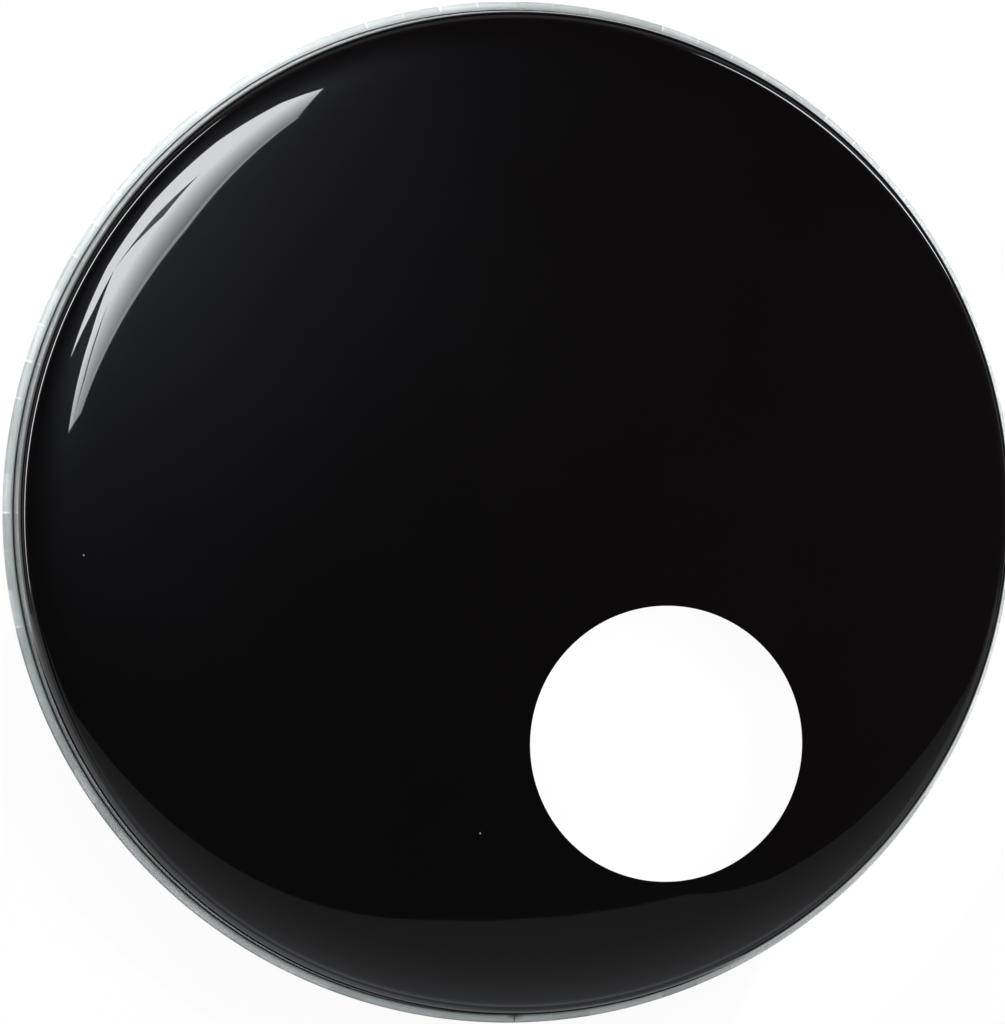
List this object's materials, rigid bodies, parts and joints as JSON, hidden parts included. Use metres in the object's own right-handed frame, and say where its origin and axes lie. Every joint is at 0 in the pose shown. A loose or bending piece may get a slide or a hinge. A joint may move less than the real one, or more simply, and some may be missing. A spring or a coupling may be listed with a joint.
{
  "type": "drum head",
  "caption": "Ported bass drum front head: glossy black film with a round off-centre port, its edge folded round a wire and crimped in an aluminium hoop.",
  "frame": {"origin": "centre of the hoop's rest face, on the drum's axis", "axes": "+Z along the drum's axis out of the film's front, +Y to 12 o'clock and +X to 3 o'clock as seen from in front of the drum, with the port at lower right"},
  "size_m": [0.4718, 0.4718, 0.0304],
  "materials": {
    "film": "gloss black polyester film",
    "hoop": "mill finish, roll formed",
    "wire": "drawn wire"
  },
  "bodies": {
    "root": {"drum_film": "film", "hoop_channel": "hoop", "core_wire": "wire"}
  },
  "joints": []
}
